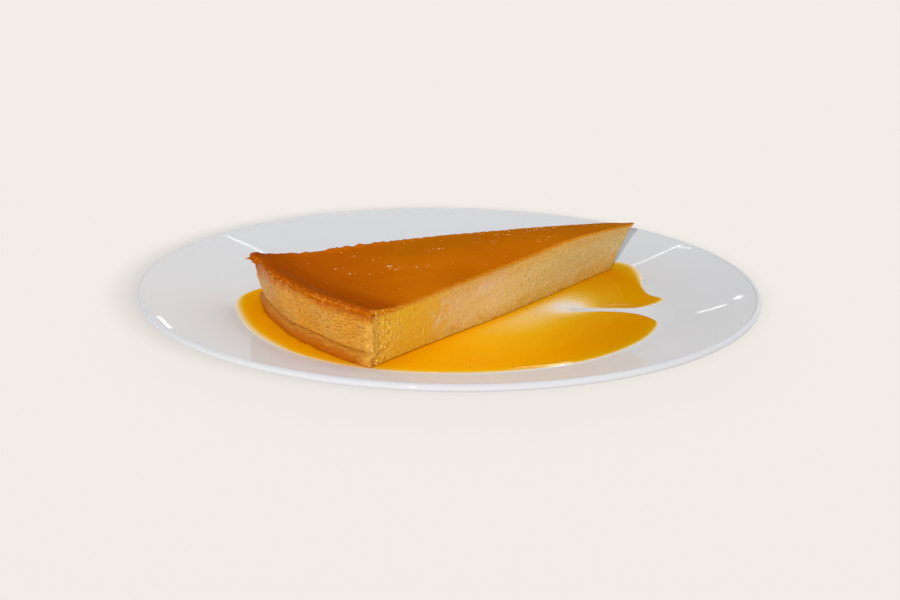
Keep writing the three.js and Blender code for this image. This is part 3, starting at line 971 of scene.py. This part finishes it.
def shape_pool(bm):
    """Lays the flat grid on the plate as syrup, cuts off what lies outside, and closes it below."""
    names = ("depth", "shade", "contact", "beside")
    depth, shade, contact, beside = (bm.verts.layers.float.new(name) for name in names)
    places = np.array([(vertex.co.x, vertex.co.y) for vertex in bm.verts])
    from_edge = signed_distance(places, pool_outline())
    in_custard = signed_distance(places, custard_foot())
    outside = []
    for vertex, edge, deep in zip(bm.verts, from_edge, in_custard):
        x, y, _ = vertex.co
        touching = bell(min(deep, 0), foot_climb_reach)
        climb = foot_climb * touching * smoothstep(edge, 0, 2 * mm)
        vertex.co.z = plate_level(math.hypot(x, y)) + pool_thickness(x, y, edge) + climb
        vertex[depth] = shown_depth(x, y, edge, deep)
        # The shade attribute holds painted shade, darker towards the syrup's ends.
        vertex[shade] = painted_syrup_dimming(x, y)
        vertex[contact] = touching
        # beside: painted shade near the custard's foot, towards the left.
        vertex[beside] = bell(min(deep, 0), foot_shade_reach) * smoothstep(-x, -5 * mm, 20 * mm)
        if edge < -pool_hem or deep > pool_hem:
            outside.append(vertex)
    bmesh.ops.delete(bm, geom=outside, context="VERTS")
    bottom = bmesh.ops.extrude_face_region(bm, geom=list(bm.faces))["geom"]
    for vertex in (item for item in bottom if isinstance(item, bmesh.types.BMVert)):
        rest = plate_level(math.hypot(vertex.co.x, vertex.co.y)) - 0.1 * mm
        vertex.co.z = min(vertex.co.z - 0.15 * mm, rest)


def syrup_surface():
    gloss = {"Roughness": 0.3, "IOR": 1.36, "Specular_IOR_Level": 0}
    coat = {"Coat_Weight": 0.14, "Coat_Roughness": 0.02, "Coat_IOR": 1.36}
    material, tree, shader, place = new_material("loose_caramel", **gloss, **coat)
    depth = attribute(tree, "depth")
    cloudy = spread(tree, grain(tree, place, 30, 4), 0.3, 0.7, -0.08, 0.08)
    dusty = spread(tree, grain(tree, place, 900, 2), 0.3, 0.7, -0.03, 0.03)
    uneven = reckon(tree, "MULTIPLY", reckon(tree, "ADD", cloudy, dusty), depth)
    deep = reckon(tree, "ADD", depth, uneven)
    ramp = node(tree, "ShaderNodeValToRGB", {"Fac": deep})
    while len(ramp.color_ramp.elements) < len(syrup_shades):
        ramp.color_ramp.elements.new(0.5)
    for element, (position, shade) in zip(ramp.color_ramp.elements, syrup_shades):
        element.position = position
        element.color = (*shade, 1)
    # Painted shade: the syrup is darkened by place, most where it is deep.
    dim = reckon(tree, "MULTIPLY", attribute(tree, "shade"), spread(tree, deep, 0.0, 0.45))
    colour = mix_colour(tree, dim, ramp.outputs[0], (0, 0, 0))
    # Painted shade beside the custard's foot.
    shade_by_cut = reckon(tree, "MULTIPLY", attribute(tree, "beside"), 0.3)
    colour = mix_colour(tree, shade_by_cut, colour, syrup_shade_by_cut)
    # Painted shade along the seam where the syrup meets the custard.
    sideways = node(tree, "ShaderNodeSeparateXYZ", {"Vector": place}).outputs[0]
    seam_shade = mix_colour(tree, spread(tree, sideways, -20 * mm, 20 * mm), *syrup_seam_shade)
    touching = spread(tree, attribute(tree, "contact"), 0.15, 1.0, 0, 0.9)
    colour = mix_colour(tree, touching, colour, seam_shade)
    tree.links.new(colour, shader.inputs["Base Color"])
    # The colour comes from the glaze under the syrup, so it is lit as the level floor is.
    level = node(tree, "ShaderNodeCombineXYZ", {"Z": 1.0}).outputs[0]
    tree.links.new(level, shader.inputs["Normal"])
    ripple = bumped(tree, grain(tree, place, 120, 2), 0.03, 0.3 * mm)
    tree.links.new(ripple, shader.inputs["Coat Normal"])
    return material


pool_bm = bmesh.new()
pool_half = plate_radius * 0.8
pool_cells = round(2 * pool_half / pool_cell)
bmesh.ops.create_grid(pool_bm, x_segments=pool_cells, y_segments=pool_cells, size=pool_half)
shape_pool(pool_bm)
pool = finish_mesh(pool_bm, "loose_caramel")
pool.data.materials.append(syrup_surface())
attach(pool, "root")
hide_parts("caramel_sauce")

# ---- Flecks in the caramel ---------------------------------------------------------------
# Torn bits of custard skin and small air bubbles that stuck in the caramel when the tin was
# lifted off. They lie in loose clusters, most of them along the back cut.

# Each cluster: along, across, how far it scatters in millimetres, how many, size in millimetres.
fleck_clusters = (
    (0.845, -0.98, 3.0, 8, 0.8), (0.800, -0.98, 4.0, 14, 0.95), (0.775, -0.92, 2.5, 7, 0.7),
    (0.774, -0.59, 1.5, 3, 0.5), (0.735, -0.38, 2.5, 6, 0.5), (0.733, 0.10, 2.5, 5, 0.8),
    (0.825, -0.27, 3, 4, 0.4), (0.835, -0.08, 1, 2, 0.5), (0.793, 0.10, 3, 5, 0.5),
    (0.690, 0.22, 2.2, 7, 0.7), (0.712, 0.14, 2.5, 5, 0.5), (0.614, -0.90, 4, 5, 0.4),
    (0.602, -0.37, 1.5, 3, 0.55), (0.575, -0.27, 1.5, 3, 0.5), (0.620, 0.42, 2, 2, 0.4),
    (0.550, -0.95, 4, 5, 0.4), (0.469, -0.40, 3, 5, 0.5), (0.440, -0.30, 3, 6, 0.5),
    (0.445, -0.85, 5, 6, 0.4), (0.390, -0.55, 3, 7, 0.5), (0.335, -0.56, 3, 7, 0.55),
    (0.300, -0.65, 3, 7, 0.5), (0.300, -1.00, 6, 16, 0.75), (0.250, -0.95, 4, 8, 0.6),
    (0.265, -0.50, 2.5, 4, 0.45), (0.301, 0.41, 1.5, 3, 0.45), (0.340, 0.40, 2, 4, 0.5),
    (0.360, 0.85, 2.5, 5, 0.5), (0.475, 0.80, 4, 5, 0.4), (0.180, -0.70, 5, 5, 0.35),
    (0.900, -0.55, 6, 5, 0.3), (0.880, 0.35, 7, 6, 0.3), (0.560, 0.60, 9, 6, 0.3),
)
lone_bubbles = 45
fleck_shades = ((0.70, 0.33, 0.11), (0.58, 0.20, 0.02))
fleck_shine = (0.86, 0.56, 0.30)


def add_lump(bm, centre, sizes, turn, uneven, seed):
    """Adds a small uneven lump and gives back its points."""
    made = bmesh.ops.create_icosphere(bm, subdivisions=2, radius=1)["verts"]
    for vertex in made:
        vertex.co *= 1 + uneven * noise.noise(1.4 * vertex.co + Vector((seed, 0.5 * seed, 3)))
    placed = Matrix.Translation(centre) @ turn @ Matrix.Diagonal((*sizes, 1))
    bmesh.ops.transform(bm, matrix=placed, verts=made)
    return made


def any_turn(random_source, tip_over):
    """A turn about the upright axis, tipped over by up to that many radians."""
    flat = Matrix.Rotation(random_source.uniform(0, 2 * math.pi), 4, "Z")
    return flat @ Matrix.Rotation(random_source.uniform(-tip_over, tip_over), 4, "X")


def on_top(along, across, sink=0.0):
    """A place on the caramel's upper face."""
    along = clamp(along, 0.01, 0.995)
    across = clamp(across, -1, 1)
    height = top_height(along, across)
    x, y = plan_point(along, across, height)
    return to_plate @ Vector((x, y, height - sink))


def fleck_surface():
    material, tree, shader, place = new_material("caramel_flecks", Roughness=0.22, IOR=1.42)
    cloud = grain(tree, place, 260, 2)
    fleck = mix_colour(tree, spread(tree, cloud, 0.35, 0.65), *fleck_shades)
    fine = grain(tree, place, 3000, 2)
    fleck = mix_colour(tree, spread(tree, fine, 0.48, 0.7, 0, 0.6), fleck, fleck_shine)
    tree.links.new(fleck, shader.inputs["Base Color"])
    tree.links.new(bumped(tree, fine, 0.5, 0.1 * mm), shader.inputs["Normal"])
    return material


fleck_bm = bmesh.new()
fleck_draw = random.Random(41)
for cluster_along, cluster_across, scatter, how_many, fleck_size in fleck_clusters:
    for _ in range(how_many):
        place_along = cluster_along + fleck_draw.gauss(0, 0.6) * scatter * mm / slice_length
        half_width = max(cluster_along * slice_length * slice_half_angle, 5 * mm)
        place_across = cluster_across + fleck_draw.gauss(0, 0.6) * scatter * mm / half_width
        long_side = fleck_size * mm * (0.4 + 1.1 * fleck_draw.random() ** 2)
        wide_side = long_side * fleck_draw.uniform(0.22, 0.6)
        fleck_sizes = (long_side, wide_side, 0.15 * wide_side + 0.05 * mm)
        fleck_centre = on_top(place_along, place_across, -0.2 * fleck_sizes[2])
        fleck_turn = any_turn(fleck_draw, 0.25)
        add_lump(fleck_bm, fleck_centre, fleck_sizes, fleck_turn, 0.8, fleck_draw.random() * 90)
for _ in range(lone_bubbles):
    bubble = fleck_draw.uniform(0.07, 0.15) * mm
    bubble_along = fleck_draw.uniform(0.15, 0.98) ** 0.7
    bubble_centre = on_top(bubble_along, fleck_draw.uniform(-1, 1), 0.3 * bubble)
    add_lump(fleck_bm, bubble_centre, (bubble, bubble, bubble), Matrix.Identity(4), 0.1, 7)
flecks = finish_mesh(fleck_bm, "caramel_flecks")
flecks.data.materials.append(fleck_surface())
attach(flecks, "root")

# ---- Custard crumbs ----------------------------------------------------------------------
# Where the knife tore the custard, soft crumbs cling to it: thickly on the front corner, in a
# row along the top edge of the front cut and on the crest of the outer face, and a few below.

crumbs_by_corner = 80
crumbs_round_corner = 34
crumbs_along_edge = 120
crumbs_on_crest = 55
crumbs_on_cut = 110
# Beads where air broke out of the custard under the caramel: along, height and scatter in
# millimetres, how many, size in millimetres.
bead_clusters = (
    (0.467, 16.3, 2.2, 16, 0.5), (0.295, 16.8, 1.8, 9, 0.4), (0.520, 15.9, 2.2, 10, 0.4),
    (0.405, 16.4, 1.8, 7, 0.35), (0.600, 15.6, 2.5, 8, 0.35), (0.700, 15.4, 2.5, 8, 0.35),
)
crumb_shades = ((0.68, 0.40, 0.065), (0.58, 0.24, 0.010))
# Painted highlight on the crumbs.
crumb_painted_highlight = (0.80, 0.53, 0.20)
crumb_stain = (0.58, 0.30, 0.02)


def on_cut(along, height, sink):
    """A place on the front cut, sunk a little into it."""
    x, y = plan_point(along, 1.0, height, 0, -sink)
    return to_plate @ Vector((x, y, height))


def on_face(across, height, sink):
    """A place on the outer face, sunk a little into it."""
    x, y = plan_point(1.0, across, height, outer_relief(across, height) - sink)
    return to_plate @ Vector((x, y, height))


def crumb_surface():
    material, tree, shader, place = new_material("custard_crumbs", Roughness=0.3, IOR=1.4)
    crumb = mix_colour(tree, attribute(tree, "shade"), *crumb_shades)
    fine = grain(tree, place, 1900, 3)
    # Painted highlights: fine specks lightened on the crumbs.
    crumb = mix_colour(tree, spread(tree, fine, 0.5, 0.75, 0, 0.4), crumb, crumb_painted_highlight)
    stained = spread(tree, grain(tree, place, 500, 2), 0.5, 0.7, 0, 0.5)
    tree.links.new(mix_colour(tree, stained, crumb, crumb_stain), shader.inputs["Base Color"])
    tree.links.new(bumped(tree, fine, 0.6, 0.15 * mm), shader.inputs["Normal"])
    return material


crumb_bm = bmesh.new()
shade_layer = crumb_bm.verts.layers.float.new("shade")
crumb_draw = random.Random(7)


def add_crumb(centre, size, shade):
    sizes = [size * crumb_draw.uniform(0.6, 1.1) for _ in range(3)]
    turn = any_turn(crumb_draw, 1.5)
    for vertex in add_lump(crumb_bm, centre, sizes, turn, 0.6, crumb_draw.random() * 90):
        vertex[shade_layer] = shade


for _ in range(crumbs_by_corner):
    crumb_along = 1 - abs(crumb_draw.gauss(0, 6)) * mm / slice_length
    crumb_size = (0.2 + 0.5 * crumb_draw.random() ** 2) * mm
    crumb_height = crumb_draw.uniform(0.8, 16.5) * mm
    add_crumb(on_cut(crumb_along, crumb_height, 0.35 * crumb_size), crumb_size, crumb_draw.random() ** 1.5)
for _ in range(crumbs_round_corner):
    crumb_across = 1 - abs(crumb_draw.gauss(0, 2.2)) * mm / (slice_length * slice_half_angle)
    crumb_size = (0.15 + 0.35 * crumb_draw.random() ** 2) * mm
    crumb_height = crumb_draw.uniform(1.0, 15.5) * mm
    add_crumb(on_face(crumb_across, crumb_height, 0.35 * crumb_size), crumb_size, crumb_draw.random())
for _ in range(crumbs_along_edge):
    crumb_along = 1 - crumb_draw.random() ** 1.5 * 0.72
    crumb_size = crumb_draw.uniform(0.12, 0.36) * mm
    below_edge = abs(crumb_draw.gauss(0, 0.9)) * mm
    crumb_height = top_height(crumb_along, 1) - 0.1 * mm - below_edge
    add_crumb(on_cut(crumb_along, crumb_height, 0.3 * crumb_size), crumb_size, 0.7 * crumb_draw.random())
for _ in range(crumbs_on_crest):
    crumb_across = crumb_draw.uniform(-1, 1)
    crumb_size = crumb_draw.uniform(0.10, 0.30) * mm
    crumb_height = top_height(1, crumb_across) - abs(crumb_draw.gauss(0, 1.0)) * mm
    add_crumb(on_face(crumb_across, crumb_height, 0.2 * crumb_size), crumb_size, crumb_draw.random())
for _ in range(crumbs_on_cut):
    crumb_along = crumb_draw.uniform(0.1, 0.95)
    crumb_size = crumb_draw.uniform(0.10, 0.26) * mm
    crumb_height = crumb_draw.uniform(2, 17) * mm
    add_crumb(on_cut(crumb_along, crumb_height, 0.4 * crumb_size), crumb_size, 0.4 * crumb_draw.random())
for bead_along, bead_height, bead_scatter, bead_count, bead_size in bead_clusters:
    for _ in range(bead_count):
        crumb_along = bead_along + crumb_draw.gauss(0, 0.6) * bead_scatter * mm / slice_length
        crumb_height = (bead_height + 0.35 * crumb_draw.gauss(0, bead_scatter)) * mm
        crumb_size = bead_size * crumb_draw.uniform(0.5, 1.0) * mm
        add_crumb(on_cut(crumb_along, crumb_height, 0.5 * crumb_size), crumb_size, 0.1)
crumbs = finish_mesh(crumb_bm, "custard_crumbs")
crumbs.data.materials.append(crumb_surface())
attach(crumbs, "root")

# ---- Specks in the syrup -----------------------------------------------------------------
# Bits of burnt sugar and custard that float in the loose caramel: flat flakes scattered over
# the pool, and a few larger ones at places of their own.

speck_count = 150
speck_tries = 9 * speck_count
# Place and size in millimetres.
burnt_bits = (
    (0.5, -60.2, 0.35),
    (39.2, -20.7, 0.5),
    (37.7, -37.2, 0.5),
    (56.6, -41.6, 0.6),
    (27.6, -9.6, 0.7),
)
speck_shades = ((0.60, 0.22, 0.002), (0.46, 0.125, 0.001))


def speck_surface():
    material, tree, shader, place = new_material("syrup_specks", Roughness=0.25, IOR=1.4)
    cloud = spread(tree, grain(tree, place, 900, 2), 0.35, 0.65)
    tree.links.new(mix_colour(tree, cloud, *speck_shades), shader.inputs["Base Color"])
    return material


speck_bm = bmesh.new()
speck_draw = random.Random(23)
speck_places = []
for _ in range(speck_tries):
    speck_places.append((speck_draw.uniform(-80, 80) * mm, speck_draw.uniform(-82, 40) * mm))
speck_sizes = [speck_draw.uniform(0.12, 0.42) * mm for _ in speck_places]
speck_places = [(x * mm, y * mm) for x, y, _ in burnt_bits] + speck_places
speck_sizes = [size * mm for _, _, size in burnt_bits] + speck_sizes
from_pool_edge = signed_distance(np.array(speck_places), pool_outline())
under_custard = signed_distance(np.array(speck_places), custard_foot())
specks_left = speck_count
for (x, y), size, edge, deep in zip(speck_places, speck_sizes, from_pool_edge, under_custard):
    afloat = plate_level(math.hypot(x, y)) + pool_thickness(x, y, edge)
    if edge < 2.5 * mm or deep > -0.5 * mm or specks_left == 0:
        continue
    specks_left -= 1
    speck_centre = Vector((x, y, afloat - 0.1 * size))
    flake = (size, 0.6 * size, 0.2 * size)
    add_lump(speck_bm, speck_centre, flake, any_turn(speck_draw, 0.1), 0.7, size * 9000)
specks = finish_mesh(speck_bm, "syrup_specks")
specks.data.materials.append(speck_surface())
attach(specks, "root")

# ---- Table, light and camera -------------------------------------------------------------
# The plate stands on a plain pale table. A low key light comes from behind the camera, softer
# ones light the plate alone, and lamps and windows at the back only shine in glaze and syrup.

table_size = 12.0
table_base = (0.10, 0.10, 0.10, 1)
table_white = (0.814, 0.7727, 0.7225)
shadow_dark = (0.01, 0.012, 0.015)
shadow_centre = (-4 * mm, 43 * mm, 0)
shadow_strength = 0.34
shadow_from = 106 * mm
shadow_to = 132 * mm
table_seen = (0.879, 0.839, 0.791)  # past the table's edge
room_ambient = (0.65, 0.663, 0.685)
room_below = (0.01, 0.01, 0.011)
room_overhead = (0.70, 0.74, 0.80)


def table_paint():
    gloss = {"Base_Color": table_base, "Roughness": 0.9, "Specular_IOR_Level": 0.1, "Emission_Strength": 1.0}
    material, tree, shader, place = new_material("table_paint", **gloss)
    gap = {0: level_part(tree, place), 1: shadow_centre}
    from_shadow = node(tree, "ShaderNodeVectorMath", gap, operation="DISTANCE").outputs["Value"]
    shadow = spread(tree, from_shadow, shadow_from, shadow_to, shadow_strength, 0)
    tree.links.new(mix_colour(tree, shadow, table_white, shadow_dark), shader.inputs["Emission Color"])
    return material


table_bm = bmesh.new()
bmesh.ops.create_grid(table_bm, x_segments=12, y_segments=12, size=table_size / 2)
table = finish_mesh(table_bm, "table")
table.data.materials.append(table_paint())


def build_room():
    """Even light all round; in reflections it is dark low down and bright overhead."""
    world = bpy.data.worlds.new("room")
    bpy.context.scene.world = world
    world.use_nodes = True
    tree = world.node_tree
    tree.nodes.clear()
    way = node(tree, "ShaderNodeTexCoord").outputs["Generated"]
    up = node(tree, "ShaderNodeSeparateXYZ", {"Vector": way}).outputs[2]
    mirrored = mix_colour(tree, spread(tree, up, 0.58, 0.92), room_below, room_overhead)
    path = node(tree, "ShaderNodeLightPath")
    lit = mix_colour(tree, path.outputs["Is Glossy Ray"], room_ambient, mirrored)
    seen = mix_colour(tree, path.outputs["Is Camera Ray"], lit, table_seen)
    background = node(tree, "ShaderNodeBackground", {"Color": seen})
    output = node(tree, "ShaderNodeOutputWorld")
    tree.links.new(background.outputs[0], output.inputs[0])


build_room()


def direction(azimuth, elevation):
    """Unit vector from the plate towards a compass angle, in degrees from +X, and a height."""
    turn = math.radians(azimuth)
    rise = math.radians(elevation)
    flat = math.cos(rise)
    return Vector((flat * math.cos(turn), flat * math.sin(turn), math.sin(rise)))


def facing_plate(azimuth, elevation, lean=0.0):
    """How a lamp or camera in this direction is turned towards the plate."""
    turn = direction(azimuth, elevation).to_track_quat("Z", "Y")
    return (turn @ Matrix.Rotation(math.radians(lean), 3, "Z").to_quaternion()).to_euler()


def shine_only_on(lamp, pieces):
    """Links the lamp to these pieces, so that it leaves the rest unlit."""
    group = bpy.data.collections.new(lamp.name + "_shines_on")
    for piece in pieces:
        group.objects.link(piece)
    lamp.light_linking.receiver_collection = group


def sun(name, azimuth, elevation, energy, softness, pieces, colour=(1, 1, 1)):
    """Light from one direction on some pieces; softness is its width in degrees."""
    data = bpy.data.lights.new(name, "SUN")
    data.energy = energy
    data.color = colour
    data.angle = math.radians(softness)
    lamp = bpy.data.objects.new(name, data)
    lamp.rotation_euler = facing_plate(azimuth, elevation)
    bpy.context.scene.collection.objects.link(lamp)
    shine_only_on(lamp, pieces)
    return lamp


warm_white = (1.0, 0.97, 0.93)
syrup_glow = (1.0, 0.64, 0.3)
sun("key", -102, 16.5, 3.2, 2.5, (custard, caramel, pool, flecks, crumbs, specks, plate), warm_white)
# These three pass through the food, and aren't mirrored in the glaze.
fill = sun("fill", 40, 30, 1.75, 60, (plate,))
wall_light = sun("wall_light", 90, 21, 0.95, 75, (plate,))
bounce = sun("bounce", 68, 6, 1.9, 12, (plate,), syrup_glow)
no_food = bpy.data.collections.new("blockers_without_food")
no_food.objects.link(table)
for lamp in (fill, wall_light, bounce):
    lamp.light_linking.blocker_collection = no_food
    lamp.visible_glossy = False


def far_lamp(name, azimuth, elevation, wide, tall, radiance, pieces, lean=0.0):
    """A flat lamp far off that only shines in some pieces; wide and tall are in degrees as seen
    from the plate."""
    distance = 30
    data = bpy.data.lights.new(name, "AREA")
    data.shape = "RECTANGLE"
    data.size = 2 * distance * math.tan(math.radians(wide) / 2)
    data.size_y = 2 * distance * math.tan(math.radians(tall) / 2)
    data.energy = radiance * data.size * data.size_y * math.pi
    lamp = bpy.data.objects.new(name, data)
    lamp.location = direction(azimuth, elevation) * distance
    lamp.rotation_euler = facing_plate(azimuth, elevation, lean)
    lamp.visible_diffuse = False
    bpy.context.scene.collection.objects.link(lamp)
    shine_only_on(lamp, pieces)


far_lamp("tube_left", 88.4, 32.6, 2.0, 0.09, 19, (plate,), lean=-16)
far_lamp("tube_right", 91.85, 31.75, 2.6, 0.07, 22, (plate,), lean=8)
far_lamp("tube_right_end", 90.3, 31.0, 0.09, 1.3, 6, (plate,), lean=-23)
far_lamp("window_gap_right", 86.85, 14.4, 0.2, 1.7, 8, (plate,), lean=29)
far_lamp("window_corner_right", 86.3, 16.7, 0.3, 0.8, 7.5, (plate,))
far_lamp("window_gap_left", 96.35, 7.0, 0.15, 3.1, 8, (plate,), lean=9)
far_lamp("window_left", 116, 38, 9, 6, 110, (pool,))
far_lamp("window_right", 82, 35, 5, 4, 90, (pool,))
far_lamp("window_middle", 94, 38, 7, 2.5, 60, (pool,))
far_lamp("pale_wall", 90, 21, 100, 46, 0.62, (plate,))

camera_azimuth = -90
camera_rise = 16.1627
camera_roll = 0.854
camera_distance = 495 * mm
focal_share = 1374.86 / 900  # focal length over the width of the picture
camera_data = bpy.data.cameras.new("camera")
camera_data.sensor_width = 36
camera_data.lens = focal_share * camera_data.sensor_width
camera_data.shift_x = 0.0005
camera_data.shift_y = -0.02506
camera = bpy.data.objects.new("camera", camera_data)
camera.rotation_euler = facing_plate(camera_azimuth, camera_rise, camera_roll)
rim_centre = Vector((0, 0, plate_height))
camera.location = rim_centre + direction(camera_azimuth, camera_rise) * camera_distance
bpy.context.scene.collection.objects.link(camera)
bpy.context.scene.camera = camera
bpy.context.scene.view_settings.view_transform = "Standard"
